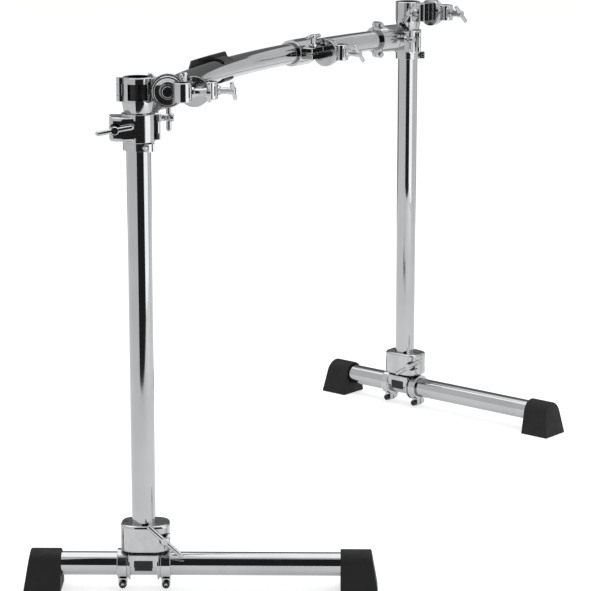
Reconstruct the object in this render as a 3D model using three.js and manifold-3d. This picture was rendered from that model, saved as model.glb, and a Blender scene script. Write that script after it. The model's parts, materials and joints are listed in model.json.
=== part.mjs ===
// Drum rack frame: a curved bar between two posts, each post on a swivelling T leg,
// with hinged clamps, memory locks and four rod holders. Millimetres, +Z up.
// +X runs along the row from the left post to the right one, +Y points to the audience.
import * as THREE from 'three';
import { mergeVertices } from 'three/addons/utils/BufferGeometryUtils.js';
import Module from 'manifold-3d';

const wasm = await Module();
wasm.setup();

// Whole rack
const postSpan = 1214;
const barHeight = 753;
const barRise = 132;
const tubeDiameter = 38.1;
const tubeWall = 2.2;
const legTurnLeft = THREE.MathUtils.degToRad(-68.3);
const legTurnRight = THREE.MathUtils.degToRad(-107.7);

// Fits: what clamps a tube, what slides or turns, and how far a cut runs past a face
const tubeFit = 0.3;
const seatGap = 0.3;
const holeFit = 0.9;
const splitGap = 1;
const overrun = 2;

// T legs
const baseTubeHeight = 41;
const baseLongEnd = 355;
const baseShortEnd = 174;
const footOverhang = 18;
const footLengthAtFloor = 60;
const footSlope = 11;
const footWallTop = 5;
const footFloorWidth = 64;

// Saddle round the base tube
const saddleLength = 85;
const saddleBand = 16;
const saddleWall = 5;
const saddleBlock = 46;
const saddleBlockWall = 5.4;
const saddleGrooveWall = 3.4;
const saddlePadWidth = 48;
const saddleRecessWidth = 30;
const saddleRecessHeight = 18;
const saddleRecessDepth = 2.5;
const saddleRecessLowShare = 1 / 3;
const pinchHeight = 9.6;
const pinchLugRadius = 7;
const pinchLugWidth = 20;
const pinchShank = 3;
const pinchHead = 5.75;
const pinchHeadLength = 6;
const pinchSocket = 3;
const pinchSocketDepth = 3.5;

// Hinged collars: what every clamp shares
const collarWall = 6.4;
const earReach = 18;
const earThickness = 11.5;
const earInset = 4;
const knuckleRadius = 5.5;
const pinRadius = 2.6;
const pinFit = 0.2;
const boltShank = 3.5;
const hubRadius = 6.5;
const hubFlare = 8;
const hubFlareLength = 4;
const barClear = 3;
const knuckleShare = 1 / 4;

// Leg collar
const legCollarHeight = 45;
const legBarLength = 74;
const legBarRadius = 4;
const legBarTurnLeft = THREE.MathUtils.degToRad(-47);
const legBarTurnRight = THREE.MathUtils.degToRad(58);
const legFittingShare = 0.86;

// Rack clamp
const rackCollarHeight = 44;
const rackClampRise = 13;
const rackBarLength = 60;
const rackBarRadius = 4;
const rackBarTurn = THREE.MathUtils.degToRad(100);
const socketStart = 31;
const socketEnd = 96;
const socketWall = 6.6;
const capStart = 48;
const flangeStart = 78;
const flangeThickness = 13;
const flangeHalfDepth = 9;
const flangeBoltOffset = 28.5;
const flangeEndRadius = 7;
const flangeHead = 4.6;
const flangeHeadLength = 4;
const socketBolt = 39;
const socketBarLength = 44;
const socketBarRadius = 4;
const socketHubLength = 24;
const socketScrewDepth = 4;

// Memory lock
const lockHeight = 12.4;
const lockWall = 4.4;
const lockLugReach = 9;
const lockLugThickness = 6;
const lockScrew = 2.4;
const lockHead = 3.6;
const lockHeadLength = 5;

// Rod clamps
const rodClampHeight = 55;
const rodClampWall = 4.6;
const rodClampRise = 8;
const rodFittingHeight = 36;
const rodBarLength = 46;
const postClampBarLength = 54;
const rodBarRadius = 3.6;
const ratchetCentre = 46;
const ratchetRadius = 26;
const ratchetStart = 12.5;
const ratchetThickness = 9;
const ratchetAxle = 5;
const ratchetHead = 9;
const ratchetHeadLength = 4.5;
const holderRadius = 24;
const holderThickness = 9;
const lugLength = 36;
const lugWidth = 28;
const lugHeight = 30;
const rodBore = 6.6;
const rodBoreAt = 22;
const rodBarTurn = THREE.MathUtils.degToRad(-47);
const postClampBarTurn = THREE.MathUtils.degToRad(40);
const rodHubLength = 30;
const rodTipGap = 1;
const barClampLeftX = 305;
const barClampRightX = 288;

// Badge plate and its clip
const badgeCentreX = -15;
const badgeLength = 190;
const badgeTopLength = 146;
const badgeHeight = 50;
const badgeRise = 0;
const badgeThickness = 3;
const clipCentreX = -2;
const clipLength = 40;
const clipWall = 3;
const clipCover = 15;

// Facets
const roundSides = 20;
const smallSides = 8;
const capRings = 1;
const barSteps = 24;
const leastBowSteps = 2;
const hexSides = 6;

// Worked out from the sizes above
const tubeRadius = tubeDiameter / 2;
const halfSpan = postSpan / 2;
const bowRadius = (halfSpan * halfSpan + barRise * barRise) / (2 * barRise);
const bowCentreY = barRise - bowRadius;
const bowHalfAngle = Math.asin(halfSpan / bowRadius);
const boreRadius = (tubeRadius + tubeFit) / Math.cos(Math.PI / roundSides);
const saddleTop = baseTubeHeight + boreRadius + saddleBlockWall;
const barEnd = bowHalfAngle - (socketStart + seatGap) / bowRadius;
const pinchPlace = (saddleLength - saddleBand) / 2;
const rackCollarTop = barHeight + rackClampRise;
const postTop = rackCollarTop + splitGap + rodClampHeight;
const screwTipGap = 2 * overrun;

// Solids
function toSolid(geometry) {
  const bare = geometry.index ? geometry.toNonIndexed() : geometry;
  bare.deleteAttribute('normal');
  bare.deleteAttribute('uv');
  const merged = mergeVertices(bare);
  return new wasm.Manifold(new wasm.Mesh({
    numProp: 3,
    vertProperties: new Float32Array(merged.attributes.position.array),
    triVerts: new Uint32Array(merged.index.array),
  }));
}

function toGeometry(solid) {
  const mesh = solid.getMesh();
  const geometry = new THREE.BufferGeometry();
  geometry.setAttribute('position', new THREE.BufferAttribute(mesh.vertProperties, 3));
  geometry.setIndex(new THREE.BufferAttribute(mesh.triVerts, 1));
  return geometry;
}

const join = (...solids) => solids.reduce((whole, next) => whole.add(next));
const cut = (solid, ...tools) => tools.reduce((rest, tool) => rest.subtract(tool), solid);

// A block between two corners, given in any order
function block(a, b) {
  const low = new THREE.Vector3(...a).min(new THREE.Vector3(...b));
  const high = new THREE.Vector3(...a).max(new THREE.Vector3(...b));
  const size = high.clone().sub(low);
  const geometry = new THREE.BoxGeometry(size.x, size.y, size.z);
  geometry.translate((low.x + high.x) / 2, (low.y + high.y) / 2, (low.z + high.z) / 2);
  return toSolid(geometry);
}

const turnTo = {
  x: (geometry) => geometry.rotateZ(-Math.PI / 2),
  y: (geometry) => geometry,
  z: (geometry) => geometry.rotateX(Math.PI / 2),
};

// A round bar along an axis, from one place on it to another, through a centre point
function rod(axis, radius, from, to, centre = [0, 0, 0], sides = smallSides) {
  const geometry = new THREE.CylinderGeometry(radius, radius, Math.abs(to - from), sides);
  turnTo[axis](geometry);
  const place = new THREE.Vector3(...centre);
  place[axis] += (from + to) / 2;
  geometry.translate(place.x, place.y, place.z);
  return toSolid(geometry);
}

// A round hole that clears a shaft of its radius all round, whatever their facets do
const hole = (axis, radius, from, to, centre, sides = smallSides) =>
  rod(axis, radius / Math.cos(Math.PI / sides), from, to, centre, sides);

// The cross handle of a T-bolt: a bar across the bolt's axis, turned about it
function crossBar(boltAxis, radius, length, centre, turn) {
  const geometry = new THREE.CapsuleGeometry(radius, length - 2 * radius, capRings, smallSides);
  if (boltAxis === 'y') geometry.rotateX(Math.PI / 2).rotateY(turn);
  if (boltAxis === 'x') geometry.rotateX(turn);
  geometry.translate(...centre);
  return toSolid(geometry);
}

// The bar's line, from one angle of its bow to another
class BowLine extends THREE.Curve {
  constructor(from, to) {
    super();
    this.from = from;
    this.to = to;
  }

  getPoint(t, target = new THREE.Vector3()) {
    const angle = this.from + (this.to - this.from) * t;
    return target.set(bowRadius * Math.sin(angle), bowCentreY + bowRadius * Math.cos(angle), barHeight);
  }
}

function bowTube(radius, from, to, hole = 0) {
  const section = new THREE.Shape().absarc(0, 0, radius, 0, 2 * Math.PI);
  if (hole) section.holes.push(new THREE.Path().absarc(0, 0, hole, 0, 2 * Math.PI));
  const share = Math.abs(to - from) / (2 * bowHalfAngle);
  const steps = Math.max(leastBowSteps, Math.ceil(barSteps * share));
  return new THREE.ExtrudeGeometry(section, {
    steps, curveSegments: roundSides / 2, bevelEnabled: false, extrudePath: new BowLine(from, to),
  });
}

// The room that a clamp leaves round the bar, on the same stations as the bar
const barRoom = () => bowTube(boreRadius, -barEnd - seatGap / bowRadius, barEnd + seatGap / bowRadius);

const bowPlace = (angle) => new THREE.Vector3(
  bowRadius * Math.sin(angle), bowCentreY + bowRadius * Math.cos(angle), barHeight);

// A straight tube between two heights or places
function straightTube(axis, from, to) {
  const outside = rod(axis, tubeRadius, from, to, [0, 0, 0], roundSides);
  const inside = rod(axis, tubeRadius - tubeWall, from - overrun, to + overrun, [0, 0, 0], roundSides);
  return cut(outside, inside);
}

// Finishes
const chrome = { color: 0xc9cbcd, roughness: 0.12, metalness: 1 };
const rubber = { color: 0x222222, roughness: 0.7, metalness: 0 };
const blackPlastic = { color: 0x1b1b1b, roughness: 0.4, metalness: 0 };

function piece(name, solid, finish) {
  const geometry = solid.isBufferGeometry ? solid : toGeometry(solid);
  const mesh = new THREE.Mesh(geometry, new THREE.MeshStandardMaterial(finish));
  mesh.name = name;
  return mesh;
}

// A hinged collar round the local Z axis. The body is on the +Y side and the jaw on the -Y side.
// The bolt ears are at +X times hand and the hinge is across from them.
// The ears and knuckles stand between the heights low and high, within the collar's own height.
function hingedCollar({
  bottom, top, low, high, hand = 1, bore = boreRadius, wall = collarWall, loosePin = false,
}) {
  const outer = bore + wall;
  const earIn = hand * (outer - earInset);
  const earOut = hand * (outer + earReach);
  const boltX = hand * (outer + earReach / 2);
  const hingeX = -hand * (outer + knuckleRadius - wall / 2);
  const boltZ = (low + high) / 2;
  const shell = cut(
    rod('z', outer, bottom, top, [0, 0, 0], roundSides),
    rod('z', bore, bottom - overrun, top + overrun, [0, 0, 0], roundSides),
  );
  const reach = outer + earReach + overrun;
  const bodySide = block([-reach, splitGap / 2, bottom - overrun], [reach, reach, top + overrun]);
  const jawSide = block([-reach, -reach, bottom - overrun], [reach, -splitGap / 2, top + overrun]);
  const knuckleStep = (high - low) * knuckleShare;
  const arm = (from, to, side) => block(
    [hingeX, side * splitGap / 2, from],
    [-hand * (outer - wall / 2), side * knuckleRadius, to]);
  const knuckle = (from, to) => rod('z', knuckleRadius, from, to, [hingeX, 0, 0]);
  const clearing = (from, to) => hole('z', knuckleRadius + seatGap, from, to, [hingeX, 0, 0]);
  const pinHole = hole('z', pinRadius + pinFit, bottom - overrun, top + overrun, [hingeX, 0, 0]);
  const ear = (side) => block([earIn, side * splitGap / 2, low], [earOut, side * earThickness, high]);
  let body = join(
    shell.intersect(bodySide), ear(1),
    arm(low, low + knuckleStep, 1), knuckle(low, low + knuckleStep),
    arm(high - knuckleStep, high, 1), knuckle(high - knuckleStep, high));
  const pin = rod('z', pinRadius, low, high, [hingeX, 0, 0]);
  body = cut(body, clearing(low + knuckleStep - seatGap, high - knuckleStep + seatGap),
    hole('y', boltShank + holeFit, 0, earThickness + overrun, [boltX, 0, boltZ]));
  let jaw = join(shell.intersect(jawSide), ear(-1), arm(low + knuckleStep, high - knuckleStep, -1));
  jaw = join(
    cut(jaw, clearing(low - overrun, low + knuckleStep), clearing(high - knuckleStep, high + overrun)),
    knuckle(low + knuckleStep + seatGap, high - knuckleStep - seatGap));
  jaw = cut(jaw, pinHole, hole('y', boltShank + seatGap, -earThickness - overrun, 0, [boltX, 0, boltZ]));
  body = loosePin ? cut(body, pinHole) : join(body, pin);
  return { body, jaw, pin, boltX, boltZ, hingeX, outer };
}

// The T-bolt of a hinged collar: it starts in the body's ear, and its hub bears on the jaw's ear
function collarBolt({ boltX, boltZ, outer, radius, length, turn }) {
  const bearing = -earThickness - seatGap;
  const barY = -(outer + radius + barClear);
  return join(
    rod('y', boltShank, bearing - overrun, earThickness - overrun, [boltX, 0, boltZ]),
    rod('y', hubFlare, bearing - hubFlareLength, bearing, [boltX, 0, boltZ]),
    rod('y', hubRadius, barY - radius, bearing, [boltX, 0, boltZ]),
    crossBar('y', radius, length, [boltX, barY, boltZ], turn));
}

// One rubber foot, on the tube's end at a place along local X. outward is 1 or -1.
function foot(outward, tubeEnd) {
  const archRadius = tubeRadius + footWallTop;
  const section = new THREE.Shape();
  const halfFloor = footFloorWidth / 2;
  const meet = Math.acos(archRadius / Math.hypot(halfFloor, baseTubeHeight))
    - Math.atan2(baseTubeHeight, halfFloor);
  section.moveTo(-halfFloor, 0);
  section.lineTo(halfFloor, 0);
  section.absarc(0, baseTubeHeight, archRadius, meet, Math.PI - meet);
  section.lineTo(-halfFloor, 0);
  const end = tubeEnd + footOverhang;
  const inner = end - footLengthAtFloor;
  const geometry = new THREE.ExtrudeGeometry(section, {
    depth: footLengthAtFloor, curveSegments: smallSides, bevelEnabled: false, steps: 1,
  });
  geometry.rotateX(Math.PI / 2).rotateZ(Math.PI / 2).translate(inner, 0, 0);
  const top = baseTubeHeight + archRadius;
  const slope = new THREE.Shape();
  slope.moveTo(inner - overrun, -overrun);
  slope.lineTo(end + footSlope * overrun / top, -overrun);
  slope.lineTo(end - footSlope - footSlope * overrun / top, top + overrun);
  slope.lineTo(inner - overrun, top + overrun);
  slope.closePath();
  const keep = new THREE.ExtrudeGeometry(slope, {
    depth: footFloorWidth + 2 * overrun, bevelEnabled: false,
  });
  keep.rotateX(Math.PI / 2).translate(0, halfFloor + overrun, 0);
  const bore = rod('x', boreRadius, inner - overrun, tubeEnd + seatGap, [0, 0, baseTubeHeight], roundSides);
  const whole = cut(toSolid(geometry).intersect(toSolid(keep)), bore);
  return outward > 0 ? whole : whole.rotate([0, 0, 180]);
}

// The saddle: two pinched bands, a raised block between them and a pad under the collar
function saddle() {
  const centre = [0, 0, baseTubeHeight];
  const half = saddleLength / 2;
  const sleeve = (wall, from, to) => rod('x', boreRadius + wall, from, to, centre, roundSides);
  const bandRadius = boreRadius + saddleWall;
  const blockRadius = boreRadius + saddleBlockWall;
  const recessLow = baseTubeHeight - saddleRecessHeight * saddleRecessLowShare;
  let body = join(
    sleeve(saddleGrooveWall, -half + overrun, half - overrun),
    sleeve(saddleWall, -half, -half + saddleBand),
    sleeve(saddleWall, half - saddleBand, half),
    sleeve(saddleBlockWall, -saddleBlock / 2, saddleBlock / 2),
    rod('z', saddlePadWidth / 2, baseTubeHeight, saddleTop, [0, 0, 0], roundSides));
  for (const side of [-1, 1]) {
    const x = side * pinchPlace;
    body = join(body,
      rod('y', pinchLugRadius, -pinchLugWidth / 2, pinchLugWidth / 2, [x, 0, pinchHeight]),
      block([x - pinchLugRadius, -pinchLugWidth / 2, pinchHeight],
        [x + pinchLugRadius, pinchLugWidth / 2, baseTubeHeight - boreRadius]));
  }
  body = cut(body,
    rod('x', boreRadius, -half - overrun, half + overrun, centre, roundSides),
    block([-half - overrun, -splitGap, -overrun],
      [half + overrun, splitGap, baseTubeHeight - boreRadius / 2]),
    block([-saddleRecessWidth / 2, -blockRadius - overrun, recessLow],
      [saddleRecessWidth / 2, -blockRadius + saddleRecessDepth, recessLow + saddleRecessHeight]));
  for (const side of [-1, 1]) {
    const place = [side * pinchPlace, 0, pinchHeight];
    body = cut(body, hole('y', pinchShank + seatGap, -bandRadius, bandRadius, place));
  }
  return body;
}

function pinchBolt(side) {
  const centre = [side * pinchPlace, 0, pinchHeight];
  const face = pinchLugWidth / 2 + seatGap;
  const headEnd = face + pinchHeadLength;
  return cut(
    join(
      rod('y', pinchShank, -face - overrun, face + overrun, centre),
      rod('y', pinchHead, -headEnd, -face, centre),
      rod('y', pinchHead, face, headEnd, centre, hexSides)),
    rod('y', pinchSocket, -headEnd - overrun, -headEnd + pinchSocketDepth, centre, hexSides));
}

// A whole T leg. Local +X is the long part of the base tube, local -Y the side of the bolt heads.
function leg(side, x, turn, barTurn) {
  const group = new THREE.Group();
  group.position.set(x, 0, 0);
  group.rotation.z = turn;
  const bottom = saddleTop + seatGap;
  const top = bottom + legCollarHeight;
  const inset = legCollarHeight * (1 - legFittingShare) / 2;
  const collar = hingedCollar({ bottom, top, low: bottom + inset, high: top - inset, loosePin: true });
  const bolt = collarBolt({ ...collar, radius: legBarRadius, length: legBarLength, turn: barTurn });
  const tube = straightTube('x', -baseShortEnd, baseLongEnd).translate([0, 0, baseTubeHeight]);
  group.add(
    piece(`${side}_base_tube`, tube, chrome),
    piece(`${side}_long_foot`, foot(1, baseLongEnd), rubber),
    piece(`${side}_short_foot`, foot(-1, baseShortEnd), rubber),
    piece(`${side}_leg_saddle`, saddle(), chrome),
    piece(`${side}_saddle_bolt_long`, pinchBolt(1), chrome),
    piece(`${side}_saddle_bolt_short`, pinchBolt(-1), chrome),
    piece(`${side}_leg_collar`, collar.body, chrome),
    piece(`${side}_leg_jaw`, collar.jaw, chrome),
    piece(`${side}_leg_hinge_pin`, collar.pin, chrome),
    piece(`${side}_leg_t_bolt`, bolt, chrome));
  return group;
}

// The clamp that joins the bar to a post. Local +Y runs from the post into the bar.
function rackClamp(side, x, hand) {
  const turn = hand * (Math.PI / 2 - bowHalfAngle);
  const group = new THREE.Group();
  group.position.set(x, 0, 0);
  group.rotation.z = turn;
  const frame = new THREE.Matrix4().makeRotationZ(turn).setPosition(x, 0, 0);
  const inverse = frame.invert();
  const local = (geometry) => toSolid(geometry.applyMatrix4(inverse));
  const along = (distance) => hand * (bowHalfAngle - distance / bowRadius);
  const span = (radius, from, to) => {
    const ends = [along(from), along(to)].sort((a, b) => a - b);
    return local(bowTube(radius, ends[0], ends[1]));
  };
  const bottom = rackCollarTop - rackCollarHeight;
  const collar = hingedCollar({
    bottom, top: rackCollarTop, low: bottom + collarWall / 2, high: rackCollarTop - collarWall / 2, hand,
  });
  const bolt = collarBolt({
    ...collar, radius: rackBarRadius, length: rackBarLength, turn: hand * rackBarTurn,
  });
  const socketRadius = boreRadius + socketWall;
  const halfBlock = socketRadius - collarWall / 2;
  const web = cut(
    block([-halfBlock, boreRadius / 2, bottom + collarWall / 2],
      [halfBlock, socketStart + overrun, rackCollarTop]),
    rod('z', boreRadius, bottom - overrun, rackCollarTop + overrun, [0, 0, 0], roundSides));
  const flangeLow = barHeight - flangeBoltOffset;
  const flangeHigh = barHeight + flangeBoltOffset;
  const flange = [flangeLow, flangeHigh].reduce((all, height) => join(all,
    rod('x', flangeEndRadius, -flangeHalfDepth, flangeHalfDepth, [0, flangeStart + flangeThickness / 2, height])),
  block([-flangeHalfDepth, flangeStart, flangeLow], [flangeHalfDepth, flangeStart + flangeThickness, flangeHigh]));
  const sleeve = join(span(socketRadius, socketStart, socketEnd), flange);
  const far = socketEnd * 2;
  const drummer = -hand;
  const capRegion = block([drummer * splitGap / 2, capStart, flangeLow - far],
    [drummer * far, far, flangeHigh + far]);
  const capClear = block([-drummer * splitGap / 2, capStart - splitGap, flangeLow - far],
    [drummer * far, far, flangeHigh + far]);
  const room = local(barRoom());
  const body = cut(join(collar.body, web, cut(sleeve, capClear)), room,
    rod('z', boreRadius, bottom - overrun, rackCollarTop + overrun, [0, 0, 0], roundSides));
  const headFrom = drummer * (flangeHalfDepth - seatGap);
  const headTo = drummer * (flangeHalfDepth + flangeHeadLength);
  const heads = [flangeLow, flangeHigh].map((height) => rod('x', flangeHead, Math.min(headFrom, headTo),
    Math.max(headFrom, headTo), [0, flangeStart + flangeThickness / 2, height]));
  const cap = join(cut(sleeve.intersect(capRegion), room), ...heads);
  return { group, collar, bolt, body, cap, drummer, socketRadius, side };
}

function finishRackClamp({ group, collar, bolt, body, cap, drummer, socketRadius, side }) {
  const boss = socketRadius + socketScrewDepth;
  const centre = [0, socketBolt, barHeight];
  const faceX = drummer * boss;
  const away = drummer * (boss + seatGap);
  const end = drummer * (boss + socketHubLength);
  const order = (a, b) => [Math.min(a, b), Math.max(a, b)];
  const bossStart = drummer * (boreRadius + seatGap + overrun);
  const holeStart = drummer * (boreRadius + screwTipGap);
  const tip = drummer * (boreRadius + screwTipGap + seatGap);
  const socketBody = cut(
    join(body, rod('x', hubFlare, ...order(bossStart, faceX), centre)),
    hole('x', boltShank + seatGap, ...order(holeStart, faceX + drummer * overrun), centre));
  const socketTBolt = join(
    rod('x', boltShank, ...order(tip, away + drummer * overrun), centre),
    rod('x', hubRadius, ...order(away, end), centre),
    crossBar('x', socketBarRadius, socketBarLength,
      [end - drummer * socketBarRadius * 2, socketBolt, barHeight], Math.PI / 2));
  group.add(
    piece(`${side}_rack_clamp`, socketBody, chrome),
    piece(`${side}_rack_jaw`, collar.jaw, chrome),
    piece(`${side}_rack_t_bolt`, bolt, chrome),
    piece(`${side}_bar_cap`, cap, chrome),
    piece(`${side}_bar_t_bolt`, socketTBolt, chrome));
  return group;
}

// The memory lock: a split ring under the rack clamp, with its key screw
function memoryLock(side, x, turn) {
  const group = new THREE.Group();
  group.position.set(x, 0, 0);
  group.rotation.z = turn;
  const top = rackCollarTop - rackCollarHeight - seatGap;
  const bottom = top - lockHeight;
  const outer = boreRadius + lockWall;
  const lugEnd = outer + lockLugReach;
  const lugHalf = splitGap + lockLugThickness;
  const screwX = outer + lockLugReach / 2;
  const screwZ = (top + bottom) / 2;
  const ring = cut(
    join(rod('z', outer, bottom, top, [0, 0, 0], roundSides),
      block([boreRadius, -lugHalf, bottom], [lugEnd, lugHalf, top])),
    rod('z', boreRadius, bottom - overrun, top + overrun, [0, 0, 0], roundSides),
    block([0, -splitGap, bottom - overrun], [lugEnd + overrun, splitGap, top + overrun]),
    hole('y', lockScrew + pinFit, -lugHalf - overrun, lugHalf + overrun, [screwX, 0, screwZ]));
  const screw = join(
    rod('y', lockScrew, -lugHalf - seatGap - overrun, lugHalf, [screwX, 0, screwZ]),
    rod('y', lockHead, -lugHalf - seatGap - lockHeadLength, -lugHalf - seatGap, [screwX, 0, screwZ]));
  group.add(piece(`${side}_memory_lock`, ring, chrome), piece(`${side}_memory_screw`, screw, chrome));
  return group;
}

// The rod holder: a ratchet disc on local Y with a lug that grips an upright rod.
// Its origin is the ratchet's centre, in the plane where it meets the clamp.
function rodHolder() {
  const holderDisc = rod('y', holderRadius, seatGap, holderThickness, [0, 0, 0], roundSides);
  const lug = block([holderRadius / 2, seatGap, -lugHeight / 2], [lugLength, lugWidth, lugHeight / 2]);
  const boreY = (lugWidth + seatGap) / 2;
  const rodHole = rod('z', rodBore, -lugHeight, lugHeight, [rodBoreAt, boreY, 0], roundSides);
  const screwHole = hole('x', boltShank + seatGap, rodBoreAt, lugLength + overrun, [0, boreY, 0]);
  const axleHole = hole('y', ratchetAxle + pinFit, -overrun, lugWidth + overrun, [0, 0, 0]);
  const headRoom = hole('y', ratchetHead + seatGap, holderThickness, lugWidth + overrun, [0, 0, 0], roundSides);
  const holder = cut(join(holderDisc, lug), rodHole, screwHole, axleHole, headRoom);
  const face = lugLength + seatGap;
  const bolt = join(
    rod('x', boltShank, rodBoreAt + rodBore + rodTipGap, face + overrun, [0, boreY, 0]),
    rod('x', hubFlare, face, face + hubFlareLength, [0, boreY, 0]),
    rod('x', hubRadius, face, face + rodHubLength, [0, boreY, 0]),
    crossBar('x', rodBarRadius, rodBarLength, [face + rodHubLength - rodBarRadius, boreY, 0], rodBarTurn));
  return { holder, bolt };
}

// A rod clamp. Local Z is the tube's axis and local +X the way that the holder reaches.
// On a post the ratchet lies on local +Y, on the bar it lies on local Z.
function rodClamp(name, onBar, up) {
  const group = new THREE.Group();
  const half = rodClampHeight / 2;
  const rise = onBar ? 0 : up * rodClampRise;
  const halfStep = bowRadius * barEnd / barSteps;
  const bowSlack = (half * half + halfStep * halfStep) / (2 * bowRadius);
  const bore = onBar ? boreRadius + bowSlack : boreRadius;
  const collar = hingedCollar({
    bottom: -half, top: half, low: rise - rodFittingHeight / 2, high: rise + rodFittingHeight / 2,
    bore, wall: rodClampWall,
  });
  const length = onBar ? rodBarLength : postClampBarLength;
  const bolt = collarBolt({ ...collar, radius: rodBarRadius, length, turn: onBar ? 0 : postClampBarTurn });
  const axis = onBar ? 'z' : 'y';
  const start = onBar ? half - ratchetThickness : ratchetStart;
  const centre = onBar ? [ratchetCentre, 0, 0] : [ratchetCentre, 0, rise];
  const face = start + ratchetThickness;
  const jawRoom = rod('z', collar.outer + splitGap, -half, half, [0, 0, 0], roundSides)
    .intersect(block([0, -collar.outer - overrun, -half], [collar.outer + overrun, splitGap / 2, half]));
  const neck = onBar
    ? block([collar.outer - earInset, splitGap / 2, 0], [collar.boltX + earReach / 2, earThickness, start])
    : block([collar.outer, earThickness - overrun, rise - rodFittingHeight / 2],
      [collar.boltX, start, rise + rodFittingHeight / 2]);
  const boltHole = hole('y', boltShank + holeFit, 0, start + overrun, [collar.boltX, 0, rise]);
  const headFace = face + holderThickness;
  let body = join(collar.body, cut(neck, boltHole),
    cut(rod(axis, ratchetRadius, start, face, centre, roundSides), jawRoom),
    rod(axis, ratchetAxle, face - overrun, headFace + ratchetHeadLength, centre),
    rod(axis, ratchetHead, headFace + seatGap, headFace + ratchetHeadLength, centre));
  body = cut(body, rod('z', bore, -half - overrun, half + overrun, [0, 0, 0], roundSides));
  const { holder, bolt: rodBolt } = rodHolder();
  const seat = new THREE.Group();
  seat.position.set(...centre);
  seat.position[axis] += face;
  seat.rotation.x = onBar ? Math.PI / 2 : 0;
  seat.add(piece(`${name}_holder`, holder, chrome), piece(`${name}_rod_t_bolt`, rodBolt, chrome));
  group.add(
    piece(`${name}_collar`, body, chrome),
    piece(`${name}_jaw`, collar.jaw, chrome),
    piece(`${name}_t_bolt`, bolt, chrome),
    seat);
  return group;
}

function placed(group, x, y, z, alongX, alongY) {
  const right = new THREE.Vector3(...alongX).normalize();
  const ahead = new THREE.Vector3(...alongY).normalize();
  const matrix = new THREE.Matrix4().makeBasis(right, ahead, right.clone().cross(ahead));
  group.setRotationFromMatrix(matrix);
  group.position.set(x, y, z);
  return group;
}

// The badge plate follows the bow on the audience side, and its clip grips the bar.
// Its ends come to a blunt point at half height, so it is shorter along its top and bottom edges.
function badge() {
  const middle = Math.asin(badgeCentreX / bowRadius);
  const halfTurn = badgeLength / 2 / bowRadius;
  const inner = bowRadius + tubeRadius + tubeFit;
  const outer = inner + badgeThickness;
  const low = barHeight + badgeRise - badgeHeight / 2;
  const from = Math.PI / 2 - middle - halfTurn;
  const to = Math.PI / 2 - middle + halfTurn;
  const plan = new THREE.Shape();
  plan.absarc(0, 0, outer, from, to, false);
  plan.absarc(0, 0, inner, to, from, true);
  const plate = new THREE.ExtrudeGeometry(plan, {
    depth: badgeHeight, curveSegments: smallSides, bevelEnabled: false,
  });
  plate.translate(0, bowCentreY, low);
  const outline = new THREE.Shape();
  outline.moveTo(badgeCentreX - badgeTopLength / 2, -badgeHeight / 2);
  outline.lineTo(badgeCentreX + badgeTopLength / 2, -badgeHeight / 2);
  outline.lineTo(badgeCentreX + badgeLength / 2, 0);
  outline.lineTo(badgeCentreX + badgeTopLength / 2, badgeHeight / 2);
  outline.lineTo(badgeCentreX - badgeTopLength / 2, badgeHeight / 2);
  outline.lineTo(badgeCentreX - badgeLength / 2, 0);
  outline.closePath();
  const around = new THREE.ExtrudeGeometry(outline, { depth: 2 * badgeLength, bevelEnabled: false });
  around.rotateX(Math.PI / 2).translate(0, barRise + badgeLength, barHeight + badgeRise);
  const trimmed = toSolid(plate).intersect(toSolid(around));
  const clipMiddle = Math.asin(clipCentreX / bowRadius);
  const clipHalf = clipLength / 2 / bowRadius;
  const gripRadius = boreRadius + clipWall;
  const clip = toSolid(bowTube(gripRadius, clipMiddle - clipHalf, clipMiddle + clipHalf));
  const place = bowPlace(clipMiddle);
  const open = block(
    [place.x - badgeLength, place.y - gripRadius * 2, barHeight - gripRadius * 2],
    [place.x + badgeLength, place.y - clipCover, barHeight + gripRadius * 2]);
  return cut(join(trimmed, clip), toSolid(barRoom()), open);
}

const rack = new THREE.Group();

rack.add(
  piece('curved_bar', bowTube(tubeRadius, -barEnd, barEnd, tubeRadius - tubeWall), chrome),
  piece('badge_plate', badge(), blackPlastic));

for (const [side, hand, turn, barTurn] of [
  ['left', -1, legTurnLeft, legBarTurnLeft], ['right', 1, legTurnRight, legBarTurnRight],
]) {
  const x = hand * halfSpan;
  const post = straightTube('z', saddleTop + seatGap, postTop).translate([x, 0, 0]);
  rack.add(piece(`${side}_post`, post, chrome));
  rack.add(leg(side, x, turn, barTurn));
  rack.add(finishRackClamp(rackClamp(side, x, hand)));
  rack.add(memoryLock(side, x, -Math.PI / 2 + hand * bowHalfAngle));
  const clampMiddle = rackCollarTop + splitGap + rodClampHeight / 2;
  const drummerSide = [-hand * Math.sin(bowHalfAngle), -Math.cos(bowHalfAngle), 0];
  const outerSide = [hand * Math.cos(bowHalfAngle), -Math.sin(bowHalfAngle), 0];
  rack.add(placed(rodClamp(`${side}_post_clamp`, false, hand), x, 0, clampMiddle, drummerSide, outerSide));
  const bow = Math.asin((hand > 0 ? barClampRightX : -barClampLeftX) / bowRadius);
  const at = bowPlace(bow);
  const clamp = rodClamp(`${side}_bar_clamp`, true, 1);
  rack.add(placed(clamp, at.x, at.y, at.z, [-Math.sin(bow), -Math.cos(bow), 0], [0, 0, -1]));
}

// The origin is on the floor, under the middle of the rack's own box
const reach = new THREE.Box3().setFromObject(rack, true);
const middle = reach.getCenter(new THREE.Vector3());
rack.position.set(-middle.x, -middle.y, -reach.min.z);

export default rack;
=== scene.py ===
import json
import math

import bmesh
import bpy
from mathutils import Matrix, Vector


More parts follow.
